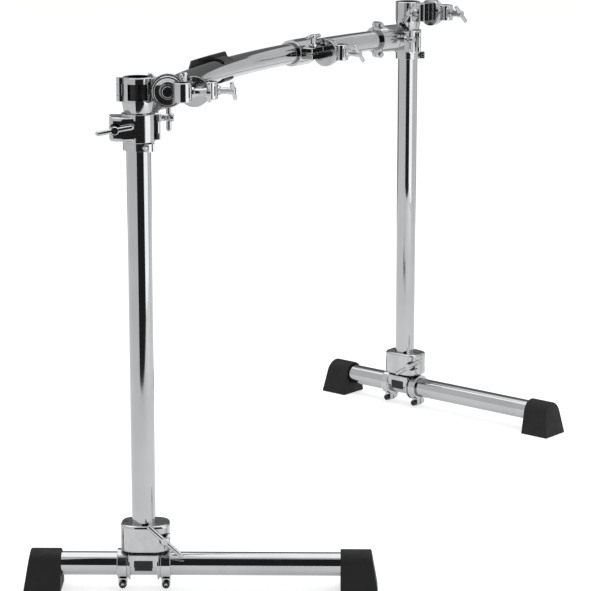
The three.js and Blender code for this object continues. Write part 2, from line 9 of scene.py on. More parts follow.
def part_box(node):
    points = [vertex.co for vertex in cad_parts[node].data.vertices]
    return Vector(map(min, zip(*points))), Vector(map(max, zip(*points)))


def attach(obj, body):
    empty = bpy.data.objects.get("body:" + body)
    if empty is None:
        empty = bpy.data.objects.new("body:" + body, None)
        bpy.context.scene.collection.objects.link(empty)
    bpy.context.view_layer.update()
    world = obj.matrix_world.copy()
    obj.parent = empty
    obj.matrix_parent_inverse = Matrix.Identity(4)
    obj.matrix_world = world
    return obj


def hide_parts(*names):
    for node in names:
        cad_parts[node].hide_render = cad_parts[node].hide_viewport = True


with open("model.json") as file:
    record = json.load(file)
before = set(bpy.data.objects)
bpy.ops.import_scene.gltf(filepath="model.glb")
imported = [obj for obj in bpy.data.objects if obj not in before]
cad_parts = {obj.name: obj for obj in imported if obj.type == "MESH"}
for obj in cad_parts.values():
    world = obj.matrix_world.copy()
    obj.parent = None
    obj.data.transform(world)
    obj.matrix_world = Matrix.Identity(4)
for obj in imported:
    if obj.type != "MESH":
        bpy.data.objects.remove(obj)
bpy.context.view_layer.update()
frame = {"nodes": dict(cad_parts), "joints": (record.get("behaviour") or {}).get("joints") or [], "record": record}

# Driving sizes, in millimetres times MM
MM = 0.001
TUBE_RADIUS = 19.05 * MM
TUBE_WALL = 2.2 * MM
TUBE_SOFT_EDGE = 0.7 * MM
BAR_END_GAP = 31.3 * MM

SHANK_RADIUS = 3.5 * MM
SHANK_TIP = 0.6 * MM
FLARE_RADIUS = 8 * MM
FLARE_SPREAD = 0.7 * MM
HUB_RADIUS = 6.5 * MM
HUB_WAIST = 5.7 * MM
HUB_EDGE = 1.1 * MM
HUB_HEAD = 11 * MM
HUB_COLLAR = 4 * MM

KEY_HEAD_RADIUS = 5.75 * MM
KEY_HEAD_LENGTH = 6 * MM
KEY_SHANK_RADIUS = 3 * MM
KEY_SOCKET_RADIUS = 3 * MM
KEY_SOCKET_DEPTH = 3.5 * MM
KEY_EDGE = 0.7 * MM

BORE_RADIUS = 19.6 * MM
SPLIT_GAP = 1 * MM
EAR_REACH = 18 * MM
EAR_THICKNESS = 11.5 * MM
EAR_INSET = 4 * MM
KNUCKLE_RADIUS = 5.5 * MM
KNUCKLE_GAP = 0.3 * MM
PIN_RADIUS = 2.6 * MM
PIN_FIT = 0.2 * MM
BOLT_HOLE = 4.2 * MM
HUB_ROOM = 9.6 * MM
FAR = 200 * MM

ROD_CLAMP_WALL = 4.6 * MM
FITTING_HEIGHT = 36 * MM
RATCHET_RADIUS = 26 * MM
RATCHET_THICKNESS = 9 * MM
RATCHET_TEETH = 44
TOOTH_DEPTH = 0.9 * MM
TEETH_BAND = 4 * MM
AXLE_RADIUS = 5 * MM
AXLE_HEAD = 9 * MM
AXLE_HEAD_LENGTH = 4.5 * MM
HOLDER_RADIUS = 24 * MM
HOLDER_THICKNESS = 9 * MM
HOLDER_RIM = 2.6 * MM
HOLDER_DISH = 1.2 * MM
HOLDER_CONE = 5.5 * MM
LUG_EDGE = 2 * MM
LUG_EAR_INSET = 4.5 * MM
LUG_EAR_EDGE = 3.5 * MM
LUG_LENGTH = 36 * MM
LUG_WIDTH = 28 * MM
LUG_HEIGHT = 30 * MM
ROD_BORE = 6.6 * MM
ROD_AT = 22 * MM
LUG_SPLIT = 2.4 * MM
SEAT_GAP = 0.3 * MM

LEG_WALL = 6.4 * MM
RACK_FACE_OVERLAP = 4 * MM
RACK_FACE_DEPTH = 28 * MM
RACK_FACE_EDGE = 5 * MM
RACK_FACE_BOW = 8 * MM
RACK_POCKET = 13.5 * MM
RACK_POCKET_FLOOR = 23.6 * MM
BARREL_SQUARENESS = 3.2
BARREL_DEPTH = 29 * MM
BARREL_BOLT_SIDE = 42 * MM
BARREL_HINGE_SIDE = 37 * MM
BARREL_EDGE = 5 * MM

SADDLE_HEIGHT = 41 * MM
SADDLE_LENGTH = 85 * MM
SADDLE_BAND = 16 * MM
SADDLE_WALL = 5 * MM
SADDLE_BLOCK = 46 * MM
SADDLE_BLOCK_WALL = 5.4 * MM
SADDLE_GROOVE_WALL = 3.4 * MM
SADDLE_PAD_RADIUS = 24 * MM
SADDLE_RIB = 3 * MM
SADDLE_RIB_RISE = 1.1 * MM
SADDLE_SHOULDER = 3 * MM
WINDOW_WIDTH = 30 * MM
WINDOW_HEIGHT = 18 * MM
WINDOW_DEPTH = 2.5 * MM
LINER = 1 * MM
WINDOW_LIP = 6 * MM
PINCH_HEIGHT = 9.6 * MM
PINCH_LUG_RADIUS = 7 * MM
PINCH_LUG_WIDTH = 20 * MM

POST_WINDOW_LOW = -7 * MM
POST_WINDOW_HIGH = 18 * MM
POST_WINDOW_WIDTH = 14 * MM
BUSH_OUTER = 19.55 * MM
BUSH_INNER = 19.2 * MM
POST_WINDOW_BAR = 2.2 * MM
BELLY_STEP = 0.9 * MM
BELLY_TAPER = 2.4 * MM

PIN_EDGE = 0.5 * MM
CASTING_EDGE = 1.0 * MM
LOCK_EDGE = 0.8 * MM
FOOT_EDGE = 2.6 * MM
BADGE_EDGE = 0.7 * MM

MERGE = 0.002 * MM
SIDES = 96
BOLT_SIDES = 48
BAR_STEPS = 160
EDGE_STEPS = 6
BOW_STEPS = 24
SHARP_ANGLE = math.radians(42)
BEVEL_ANGLE = math.radians(50)
FLAT_ANGLE = math.radians(0.5)

NODES = frame["nodes"]
JOINTS = {joint["name"]: joint for joint in frame["joints"]}
BODY_OF = {
    node: body
    for body, members in frame["record"]["behaviour"]["bodies"].items()
    for node in members
}
HANDS = ("left", "right")
UP = Vector((0, 0, 1))


# Where the frame puts things


def post_axis(hand):
    """The place on the floor under a post."""
    return Vector(JOINTS[f"{hand}_leg_swivel"]["pos_m"])


def middle(node):
    low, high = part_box(node)
    return (low + high) / 2


def reach(node, place, direction):
    """How far a node lies along a direction, from its lowest to its highest point."""
    distances = [(vertex.co - place).dot(direction) for vertex in NODES[node].data.vertices]
    return min(distances), max(distances)


def facing(place, direction):
    """The turn that takes local Z to a direction, and the origin to a place."""
    return Matrix.Translation(place) @ direction.to_track_quat("Z", "Y").to_matrix().to_4x4()


# Node groups and materials


def new_group(name, inputs, outputs):
    group = bpy.data.node_groups.new(name, "ShaderNodeTree")
    for label, value in inputs:
        socket = group.interface.new_socket(label, in_out="INPUT", socket_type="NodeSocketFloat")
        socket.default_value = value
    for label in outputs:
        group.interface.new_socket(label, in_out="OUTPUT", socket_type="NodeSocketFloat")
    return group


def add_node(tree, kind, **settings):
    node = tree.nodes.new(kind)
    for key, value in settings.items():
        setattr(node, key, value)
    return node


def stretched_noise(tree, scale_from, stretch, detail, roughness):
    """Noise on the object's own coordinates, stretched along its axes."""
    coordinates = add_node(tree, "ShaderNodeTexCoord")
    mapping = add_node(tree, "ShaderNodeMapping")
    mapping.inputs["Scale"].default_value = stretch
    noise = add_node(tree, "ShaderNodeTexNoise")
    noise.inputs["Detail"].default_value = detail
    noise.inputs["Roughness"].default_value = roughness
    tree.links.new(coordinates.outputs["Object"], mapping.inputs["Vector"])
    tree.links.new(mapping.outputs["Vector"], noise.inputs["Vector"])
    tree.links.new(scale_from, noise.inputs["Scale"])
    return noise.outputs["Fac"]


def remapped(tree, value, from_low, from_high, to_low, to_high):
    node = add_node(tree, "ShaderNodeMapRange")
    tree.links.new(value, node.inputs["Value"])
    for label, number in (("From Min", from_low), ("From Max", from_high)):
        node.inputs[label].default_value = number
    for label, number in (("To Min", to_low), ("To Max", to_high)):
        if isinstance(number, (int, float)):
            node.inputs[label].default_value = number
        else:
            tree.links.new(number, node.inputs[label])
    return node.outputs["Result"]


def polish_marks_group():
    """Buffed metal: soft handling smudges and fine rubbing marks."""
    group = new_group(
        "polish marks",
        (("Smudge Scale", 14), ("Mark Scale", 160), ("Low Roughness", 0.03), ("High Roughness", 0.1)),
        ("Roughness", "Smudge", "Height"),
    )
    source = add_node(group, "NodeGroupInput")
    result = add_node(group, "NodeGroupOutput")
    smudge = stretched_noise(group, source.outputs["Smudge Scale"], (1, 1, 0.6), 5, 0.6)
    mark = stretched_noise(group, source.outputs["Mark Scale"], (1, 1, 0.08), 3, 0.5)
    mask = remapped(group, smudge, 0.42, 0.68, 0, 1)
    rough = remapped(
        group, smudge, 0.38, 0.7, source.outputs["Low Roughness"], source.outputs["High Roughness"]
    )
    group.links.new(rough, result.inputs["Roughness"])
    group.links.new(mask, result.inputs["Smudge"])
    group.links.new(mark, result.inputs["Height"])
    return group


def grain_group():
    """Moulded skin: a fine grain over slow unevenness."""
    group = new_group(
        "moulded grain",
        (("Grain Scale", 900), ("Low Roughness", 0.5), ("High Roughness", 0.75)),
        ("Roughness", "Dust", "Height"),
    )
    source = add_node(group, "NodeGroupInput")
    result = add_node(group, "NodeGroupOutput")
    grain = stretched_noise(group, source.outputs["Grain Scale"], (1, 1, 1), 2, 0.5)
    slow = stretched_noise(group, source.outputs["Grain Scale"], (0.03, 0.03, 0.03), 4, 0.6)
    rough = remapped(
        group, slow, 0.35, 0.65, source.outputs["Low Roughness"], source.outputs["High Roughness"]
    )
    dust = remapped(group, slow, 0.45, 0.7, 0, 1)
    group.links.new(rough, result.inputs["Roughness"])
    group.links.new(dust, result.inputs["Dust"])
    group.links.new(grain, result.inputs["Height"])
    return group


POLISH_MARKS = polish_marks_group()
MOULDED_GRAIN = grain_group()


def finish(name, group, settings, clean, dulled, mask, metallic, bump_strength, bump_depth, gloss=0.5):
    """A surface whose colour, roughness and relief follow a node group."""
    material = bpy.data.materials.new(name)
    material.use_nodes = True
    tree = material.node_tree
    shader = tree.nodes["Principled BSDF"]
    shader.inputs["Metallic"].default_value = metallic
    shader.inputs["Specular IOR Level"].default_value = gloss
    marks = add_node(tree, "ShaderNodeGroup", node_tree=group)
    for label, value in settings.items():
        marks.inputs[label].default_value = value
    colour = add_node(tree, "ShaderNodeMix", data_type="RGBA")
    colour.inputs["A"].default_value = (*clean, 1)
    colour.inputs["B"].default_value = (*dulled, 1)
    relief = add_node(tree, "ShaderNodeBump")
    relief.inputs["Strength"].default_value = bump_strength
    relief.inputs["Distance"].default_value = bump_depth
    tree.links.new(marks.outputs[mask], colour.inputs["Factor"])
    tree.links.new(colour.outputs["Result"], shader.inputs["Base Color"])
    tree.links.new(marks.outputs["Roughness"], shader.inputs["Roughness"])
    tree.links.new(marks.outputs["Height"], relief.inputs["Height"])
    tree.links.new(relief.outputs["Normal"], shader.inputs["Normal"])
    return material


TUBE_CHROME = finish(
    "drawn tube chrome", POLISH_MARKS,
    {"Smudge Scale": 9, "Mark Scale": 140, "Low Roughness": 0.035, "High Roughness": 0.085},
    (0.4, 0.406, 0.414), (0.36, 0.366, 0.374), "Smudge", 1, 0.05, 0.02 * MM,
)
CASTING_CHROME = finish(
    "cast clamp chrome", POLISH_MARKS,
    {"Smudge Scale": 34, "Mark Scale": 90, "Low Roughness": 0.07, "High Roughness": 0.16},
    (0.43, 0.436, 0.442), (0.37, 0.375, 0.38), "Smudge", 1, 0.16, 0.05 * MM,
)
BOLT_CHROME = finish(
    "turned bolt chrome", POLISH_MARKS,
    {"Smudge Scale": 60, "Mark Scale": 260, "Low Roughness": 0.06, "High Roughness": 0.13},
    (0.43, 0.436, 0.442), (0.35, 0.355, 0.36), "Smudge", 1, 0.08, 0.03 * MM,
)
BLACKENED = finish(
    "blackened screw head", POLISH_MARKS,
    {"Smudge Scale": 70, "Mark Scale": 260, "Low Roughness": 0.2, "High Roughness": 0.32},
    (0.03, 0.03, 0.032), (0.045, 0.045, 0.047), "Smudge", 1, 0.08, 0.03 * MM,
)
FOOT_RUBBER = finish(
    "matt foot rubber", MOULDED_GRAIN,
    {"Grain Scale": 1400, "Low Roughness": 0.55, "High Roughness": 0.78},
    (0.008, 0.008, 0.0085), (0.014, 0.014, 0.0145), "Dust", 0, 0.35, 0.12 * MM, 0.3,
)
BADGE_PLASTIC = finish(
    "satin black plate", MOULDED_GRAIN,
    {"Grain Scale": 2200, "Low Roughness": 0.26, "High Roughness": 0.4},
    (0.007, 0.007, 0.0075), (0.011, 0.011, 0.0115), "Dust", 0, 0.12, 0.04 * MM, 0.3,
)


# Shaping


def spin_outline(outline, sides):
    """Turns an outline of (radius, height) points round local Z into a closed body."""
    shape = bmesh.new()
    points = [shape.verts.new((radius, 0, height)) for radius, height in outline]
    for first, second in zip(points, points[1:]):
        shape.edges.new((first, second))
    bmesh.ops.spin(
        shape, geom=shape.verts[:] + shape.edges[:], cent=(0, 0, 0), axis=(0, 0, 1),
        angle=2 * math.pi, steps=sides, use_merge=True,
    )
    bmesh.ops.remove_doubles(shape, verts=shape.verts[:], dist=MERGE)
    bmesh.ops.recalc_face_normals(shape, faces=shape.faces[:])
    return shape


def drum(axis, radius, low, high, centre=(0, 0, 0), edge=0.0):
    """A cylinder along a local axis, with rounded rims."""
    rim = [
        (radius - edge + edge * math.sin(turn), edge - edge * math.cos(turn))
        for turn in (math.pi / 2 * step / EDGE_STEPS for step in range(EDGE_STEPS + 1))
    ] if edge else [(radius, 0)]
    lower = [(across, low + along) for across, along in rim]
    upper = [(across, high - along) for across, along in reversed(rim)]
    shape = spin_outline([(0, low)] + lower + upper + [(0, high)], SIDES)
    turns = {
        "X": Matrix.Rotation(math.pi / 2, 4, "Y"),
        "Y": Matrix.Rotation(-math.pi / 2, 4, "X"),
        "Z": Matrix.Identity(4),
    }
    shape.transform(Matrix.Translation(centre) @ turns[axis])
    return shape


def block(low, high, edge=0.0):
    """A box between two corners, with rounded edges."""
    shape = bmesh.new()
    bmesh.ops.create_cube(shape, size=1)
    size = Vector(high) - Vector(low)
    bmesh.ops.scale(shape, vec=size, verts=shape.verts[:])
    bmesh.ops.translate(shape, vec=(Vector(high) + Vector(low)) / 2, verts=shape.verts[:])
    if edge:
        bmesh.ops.bevel(
            shape, geom=shape.edges[:], offset=edge, offset_type="OFFSET", segments=EDGE_STEPS,
            profile=0.5, affect="EDGES", material=-1,
        )
    return shape


def bowed_block(low, high, edge, bow):
    """A rounded block whose -Y face bulges: its ends stand back by the bow."""
    shape = block(low, high, edge)
    middle_x = (low[0] + high[0]) / 2
    half = (high[0] - low[0]) / 2
    for step in range(1, BOW_STEPS):
        place = (low[0] + (high[0] - low[0]) * step / BOW_STEPS, 0, 0)
        everything = shape.verts[:] + shape.edges[:] + shape.faces[:]
        bmesh.ops.bisect_plane(shape, geom=everything, plane_co=place, plane_no=(1, 0, 0))
    for vertex in shape.verts:
        vertex.co.y *= 1 + bow * ((vertex.co.x - middle_x) / half) ** 2 / low[1]
    bmesh.ops.remove_doubles(shape, verts=shape.verts[:], dist=MERGE)
    bmesh.ops.triangulate(shape, faces=shape.faces[:])
    return shape


def temporary(shape):
    mesh = bpy.data.meshes.new("temporary")
    shape.to_mesh(mesh)
    shape.free()
    holder = bpy.data.objects.new("temporary", mesh)
    bpy.context.scene.collection.objects.link(holder)
    return holder


def carved(solids, holes=()):
    """Joins solids, then cuts the holes out of them."""
    base = temporary(solids[0])
    tools = []
    steps = [(shape, "UNION") for shape in solids[1:]] + [(shape, "DIFFERENCE") for shape in holes]
    for shape, operation in steps:
        tool = temporary(shape)
        step = base.modifiers.new("step", "BOOLEAN")
        step.operation = operation
        step.solver = "EXACT"
        step.object = tool
        tools.append(tool)
    made = bpy.data.meshes.new_from_object(base.evaluated_get(bpy.context.evaluated_depsgraph_get()))
    shape = bmesh.new()
    shape.from_mesh(made)
    bpy.data.meshes.remove(made)
    for spent in tools + [base]:
        mesh = spent.data
        bpy.data.objects.remove(spent)
        bpy.data.meshes.remove(mesh)
    bmesh.ops.remove_doubles(shape, verts=shape.verts[:], dist=MERGE)
    return shape


def placed(shape, frame_matrix):
    """Moves a shape from its own frame into the row's. A mirrored frame turns its faces round."""
    shape.transform(frame_matrix)
    if frame_matrix.determinant() < 0:
        bmesh.ops.reverse_faces(shape, faces=shape.faces[:])
    return put_together([shape])


def put_together(shapes):
    """Takes several shapes into one mesh."""
    mesh = bpy.data.meshes.new("shape")
    whole = bmesh.new()
    for shape in shapes:
        shape.to_mesh(mesh)
        whole.from_mesh(mesh)
        shape.free()
    whole.to_mesh(mesh)
    whole.free()
    return mesh


def dress(node, mesh, material, flats=False):
    """Puts a finished piece where a CAD node is, on the same body."""
    mesh.name = f"{node}_skin"
    piece = bpy.data.objects.new(f"{node}_skin", mesh)
    bpy.context.scene.collection.objects.link(piece)
    mesh.materials.clear()
    mesh.materials.append(material)
    mesh.shade_smooth()
    mesh.set_sharp_from_angle(angle=SHARP_ANGLE)
    if flats:
        evening = piece.modifiers.new("even flats", "WEIGHTED_NORMAL")
        evening.keep_sharp = True
    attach(piece, BODY_OF[node])
    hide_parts(node)
    return piece


def dark_piece(name, mesh, body):
    """A small black part that shows through an opening of a casting."""
    mesh.name = name
    piece = bpy.data.objects.new(name, mesh)
    bpy.context.scene.collection.objects.link(piece)
    mesh.materials.append(BADGE_PLASTIC)
    mesh.shade_smooth()
    mesh.set_sharp_from_angle(angle=SHARP_ANGLE)
    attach(piece, body)


def soften(node, edge, material):
    """Gives a CAD solid the rounded edges of a casting or a moulding."""
    mesh = NODES[node].data.copy()
    shape = bmesh.new()
    shape.from_mesh(mesh)
    bmesh.ops.remove_doubles(shape, verts=shape.verts[:], dist=MERGE)
    bmesh.ops.dissolve_limit(
        shape, angle_limit=FLAT_ANGLE, verts=shape.verts[:], edges=shape.edges[:],
    )
    shape.to_mesh(mesh)
    shape.free()
    piece = dress(node, mesh, material)
    rounding = piece.modifiers.new("rounded edges", "BEVEL")
    rounding.width = edge
    rounding.segments = 3
    rounding.limit_method = "ANGLE"
    rounding.angle_limit = BEVEL_ANGLE
    evening = piece.modifiers.new("even flats", "WEIGHTED_NORMAL")
    evening.keep_sharp = True
    return piece


def tube_outline(low, high):
    """The section of a tube's wall, with soft ends. Its last point is its first."""
    bore = TUBE_RADIUS - TUBE_WALL
    return [
        (bore, low), (TUBE_RADIUS - TUBE_SOFT_EDGE, low), (TUBE_RADIUS, low + TUBE_SOFT_EDGE),
        (TUBE_RADIUS, high - TUBE_SOFT_EDGE), (TUBE_RADIUS - TUBE_SOFT_EDGE, high), (bore, high),
        (bore, low),
    ]


def straight_tube(node, place, direction):
    low, high = reach(node, place, direction)
    shape = spin_outline(tube_outline(low, high), SIDES)
    shape.transform(facing(place, direction))
    dress(node, put_together([shape]), TUBE_CHROME)


def curved_bar():
    """The bar is a circle swept round the bow's centre, between the two sockets."""
    left = post_axis("left")
    right = post_axis("right")
    low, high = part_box("curved_bar")
    half_span = (right - left).length / 2
    rise = high.y - TUBE_RADIUS - left.y
    bow = (half_span ** 2 + rise ** 2) / (2 * rise)
    centre = Vector(((left.x + right.x) / 2, left.y + rise - bow, (low.z + high.z) / 2))
    end = math.asin(half_span / bow) - BAR_END_GAP / bow
    shape = bmesh.new()
    ring = bmesh.ops.create_circle(shape, cap_ends=True, segments=SIDES, radius=TUBE_RADIUS)
    upright = Matrix.Rotation(math.pi / 2, 4, "Y")
    at_end = Matrix.Translation(centre) @ Matrix.Rotation(end, 4, "Z") @ Matrix.Translation((0, bow, 0))
    bmesh.ops.transform(shape, matrix=at_end @ upright, verts=ring["verts"])
    bmesh.ops.spin(
        shape, geom=shape.faces[:], cent=centre, axis=(0, 0, 1),
        angle=-2 * end, steps=BAR_STEPS, use_duplicate=False,
    )
    bmesh.ops.remove_doubles(shape, verts=shape.verts[:], dist=MERGE)
    bmesh.ops.recalc_face_normals(shape, faces=shape.faces[:])
    dress("curved_bar", put_together([shape]), TUBE_CHROME)


def round_ended_rod(radius, half_length):
    """A cross bar along local Z, with domed ends."""
    dome = [
        (radius * math.sin(turn), radius * math.cos(turn))
        for turn in (math.pi / 2 * step / EDGE_STEPS for step in range(EDGE_STEPS + 1))
    ]
    top = [(across, half_length - radius + along) for across, along in dome]
    bottom = [(across, -height) for across, height in reversed(top)]
    return spin_outline(top + bottom, BOLT_SIDES)


def t_bolt(node):
    """A hub on a threaded shank, with a cross bar through the hub's end."""
    joint = JOINTS[f"{node}_turn"]
    place = Vector(joint["pos_m"])
    axis = Vector(joint["axis"]).normalized()
    points = []
    for vertex in NODES[node].data.vertices:
        along = (vertex.co - place).dot(axis)
        points.append((along, vertex.co - place - axis * along))
    longest = max((across for along, across in points), key=lambda across: across.length)
    tips = [along for along, across in points if across.length > longest.length - HUB_RADIUS]
    flare = [along for along, across in points if abs(across.length - FLARE_RADIUS) < FLARE_SPREAD]
    wall = [along for along, across in points if abs(across.length - HUB_RADIUS) < FLARE_SPREAD / 2]
    core = [along for along, across in points if across.length < FLARE_RADIUS + FLARE_SPREAD]
    bar_at = (min(tips) + max(tips)) / 2
    bar_radius = (max(tips) - min(tips)) / 2
    if bar_at < (min(core) + max(core)) / 2:
        axis = -axis
        bar_at = -bar_at
        flare = [-along for along in flare]
        wall = [-along for along in wall]
        core = [-along for along in core]
    tip, end = min(core), max(core)
    seat_radius = FLARE_RADIUS if flare else HUB_RADIUS
    flare_low = min(flare or wall)
    flare_high = max(flare) if flare else flare_low + HUB_COLLAR
    hub = spin_outline([
        (0, tip), (SHANK_RADIUS - SHANK_TIP, tip), (SHANK_RADIUS, tip + SHANK_TIP),
        (SHANK_RADIUS, flare_low), (seat_radius - SHANK_TIP, flare_low),
        (seat_radius, flare_low + SHANK_TIP), (seat_radius, flare_high - SHANK_TIP),
        (seat_radius - SHANK_TIP, flare_high), (HUB_WAIST, flare_high + HUB_EDGE),
        (HUB_WAIST, max(flare_high + HUB_EDGE, end - HUB_HEAD - HUB_EDGE)),
        (HUB_RADIUS, max(flare_high + 2 * HUB_EDGE, end - HUB_HEAD)),
        (HUB_RADIUS, end - HUB_EDGE), (HUB_RADIUS - HUB_EDGE, end), (0, end),
    ], BOLT_SIDES)
    hub.transform(facing(place, axis))
    bar = round_ended_rod(bar_radius, longest.length)
    bar.transform(facing(place + axis * bar_at, longest.normalized()))
    dress(node, put_together([hub, bar]), BOLT_CHROME)


def make_hexagonal(shape, radius, depth_from, depth_to):
    """Pulls the round wall of a key socket in to a hexagon."""
    flat = radius * math.cos(math.pi / 6)
    for vertex in shape.verts:
        across = math.hypot(vertex.co.x, vertex.co.y)
        if depth_from <= vertex.co.z <= depth_to and 0 < across <= radius + MERGE:
            turn = math.atan2(vertex.co.y, vertex.co.x) % (math.pi / 3) - math.pi / 6
            share = flat / math.cos(turn) / radius
            vertex.co.x *= share
            vertex.co.y *= share


def key_bolt(node, direction):
    """A pinch bolt: a socket head on the keyed side, a plain nut face on the other."""
    place = middle(node)
    low, high = reach(node, place, direction)
    head = KEY_HEAD_RADIUS
    shape = spin_outline([
        (0, low + KEY_SOCKET_DEPTH), (KEY_SOCKET_RADIUS, low + KEY_SOCKET_DEPTH),
        (KEY_SOCKET_RADIUS, low), (head - KEY_EDGE, low), (head, low + KEY_EDGE),
        (head, low + KEY_HEAD_LENGTH), (KEY_SHANK_RADIUS + KEY_EDGE, low + KEY_HEAD_LENGTH),
        (KEY_SHANK_RADIUS + KEY_EDGE, high - KEY_HEAD_LENGTH), (head, high - KEY_HEAD_LENGTH),
        (head, high - KEY_EDGE), (head - KEY_EDGE, high), (0, high),
    ], BOLT_SIDES)
    make_hexagonal(shape, KEY_SOCKET_RADIUS, low - MERGE, low + KEY_SOCKET_DEPTH + MERGE)
    shape.transform(facing(place, direction))
    bolt = dress(node, put_together([shape]), BOLT_CHROME)
    bolt.data.materials.append(BLACKENED)
    for face in bolt.data.polygons:
        away = face.center - place
        along = away.dot(direction)
        outside = (away - direction * along).length > KEY_SOCKET_RADIUS + MERGE
        face.material_index = int(outside and along < low + KEY_HEAD_LENGTH)


def hinge_pin(node):
    low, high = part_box(node)
    radius = (high.x - low.x) / 2
    half = (high.z - low.z) / 2
    shape = spin_outline([
        (0, -half), (radius - PIN_EDGE, -half), (radius, PIN_EDGE - half),
        (radius, half - PIN_EDGE), (radius - PIN_EDGE, half), (0, half),
    ], BOLT_SIDES)
    shape.transform(Matrix.Translation((low + high) / 2))
    dress(node, put_together([shape]), BOLT_CHROME)


# Hinged clamps. In a clamp's own frame Z is the tube's axis, +X the bolt's side and +Y the body's side.


def clamp_frame(name, jaw, t_bolt, centre, along):
    """A clamp's own frame, from its hinge, its T-bolt and the tube that it grips."""
    hinge = Vector(JOINTS[f"{jaw}_hinge"]["pos_m"])
    across = centre - hinge
    across = (across - along * across.dot(along)).normalized()
    to_bar = middle(t_bolt) - centre
    outward = along.cross(across).normalized()
    if outward.dot(to_bar) > 0:
        outward = -outward
    columns = (across, outward, along, centre)
    return Matrix([[column[row] for column in columns] for row in range(3)] + [(0, 0, 0, 1)])


def side_room(side):
    """Everything on one side of the split between body and jaw."""
    return block(
        (-FAR, -FAR if side < 0 else -SPLIT_GAP / 2, -FAR), (FAR, SPLIT_GAP / 2 if side < 0 else FAR, FAR),
    )


def knuckle_heights(low, high):
    """Where the hinge's three knuckles part."""
    step = (high - low) / 4
    return low + step, high - step


def hinge_parts(side, hinge_x, outer, low, high):
    """The arms and knuckles of one half: the body has the two outer ones, the jaw the middle one."""
    first, second = knuckle_heights(low, high)
    gap = KNUCKLE_GAP
    spans = [(low, first), (second, high)] if side > 0 else [(first + gap, second - gap)]
    parts = []
    for start, stop in spans:
        parts.append(drum("Z", KNUCKLE_RADIUS, start, stop, (hinge_x, 0, 0), PIN_EDGE))
        near, far = sorted((side * SPLIT_GAP / 2, side * KNUCKLE_RADIUS))
        parts.append(block((hinge_x, near, start), (-(outer - ROD_CLAMP_WALL / 2), far, stop)))
    return parts


def ear(side, outer, low, high):
    near, far = sorted((side * SPLIT_GAP / 2, side * EAR_THICKNESS))
    return block((outer - EAR_INSET, near, low), (outer + EAR_REACH, far, high), 2 * MM)


def collar_half(side, outer, bore, bottom, top, low, high, hinge_x, shell=None, more=(), holes=()):
    """One half of a hinged collar, with its ear, its knuckles and its bore."""
    bolt_x = outer + EAR_REACH / 2
    bolt_z = (low + high) / 2
    half = carved([shell or drum("Z", outer, bottom, top, edge=1.2 * MM)], [side_room(-side)])
    first, second = knuckle_heights(low, high)
    clear = KNUCKLE_RADIUS + KNUCKLE_GAP
    rooms = [(first, second)] if side > 0 else [(low - KNUCKLE_GAP, first + KNUCKLE_GAP),
                                                (second - KNUCKLE_GAP, high + KNUCKLE_GAP)]
    half = carved([half], [drum("Z", clear, start, stop, (hinge_x, 0, 0)) for start, stop in rooms])
    cuts = [
        drum("Z", bore, bottom - LUG_LENGTH, top + LUG_LENGTH),
        drum("Y", BOLT_HOLE, min(0, side * FAR), max(0, side * FAR), (bolt_x, 0, bolt_z)),
        *holes,
    ]
    parts = [half, ear(side, outer, low, high), *hinge_parts(side, hinge_x, outer, low, high), *more]
    return carved(parts, cuts)


def barrel(bottom, top):
    """The leg collar's smooth barrel, a squared oval with soft rims."""
    shape = bmesh.new()
    bmesh.ops.create_circle(shape, cap_ends=True, segments=2 * SIDES, radius=1)
    for vertex in shape.verts:
        turn = math.atan2(vertex.co.y, vertex.co.x)
        share = (abs(math.cos(turn)) ** BARREL_SQUARENESS + abs(math.sin(turn)) ** BARREL_SQUARENESS)
        share = share ** (-1 / BARREL_SQUARENESS)
        side = BARREL_BOLT_SIDE if vertex.co.x > 0 else BARREL_HINGE_SIDE
        vertex.co = (side * share * math.cos(turn), BARREL_DEPTH * share * math.sin(turn), bottom)
    lid = bmesh.ops.extrude_face_region(shape, geom=shape.faces[:])
    raised = [item for item in lid["geom"] if isinstance(item, bmesh.types.BMVert)]
    bmesh.ops.translate(shape, vec=(0, 0, top - bottom), verts=raised)
    bmesh.ops.recalc_face_normals(shape, faces=shape.faces[:])
    rims = [edge for edge in shape.edges if abs(edge.verts[0].co.z - edge.verts[1].co.z) < MERGE]
    bmesh.ops.bevel(
        shape, geom=rims, offset=BARREL_EDGE, offset_type="OFFSET", segments=EDGE_STEPS,
        profile=0.5, affect="EDGES", material=-1,
    )
    return shape


def leg_collar(hand):
    """The hinged barrel round the foot of a post, in two halves."""
    centre = post_axis(hand)
    own = clamp_frame("leg", f"{hand}_leg_jaw", f"{hand}_leg_t_bolt", centre, UP)
    low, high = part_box(f"{hand}_leg_collar")
    bottom, top = low.z, high.z
    hinge = own.inverted() @ Vector(JOINTS[f"{hand}_leg_jaw_hinge"]["pos_m"])
    bolt = own.inverted() @ Vector(JOINTS[f"{hand}_leg_t_bolt_turn"]["pos_m"])
    for side, node in ((1, f"{hand}_leg_collar"), (-1, f"{hand}_leg_jaw")):
        bearing = -EAR_THICKNESS if side < 0 else EAR_THICKNESS + SHANK_RADIUS
        room = sorted((bearing, side * FAR))
        holes = [
            side_room(-side),
            drum("Z", BORE_RADIUS, bottom - MM, top + MM),
            drum("Z", PIN_RADIUS + PIN_FIT, bottom - MM, top + MM, (hinge.x, 0, 0)),
            drum("Y", BOLT_HOLE, min(0, side * FAR), max(0, side * FAR), (bolt.x, 0, bolt.z)),
            drum("Y", HUB_ROOM, room[0], room[1], (bolt.x, 0, bolt.z)),
        ]
        dress(node, placed(carved([barrel(bottom, top)], holes), own), CASTING_CHROME, True)


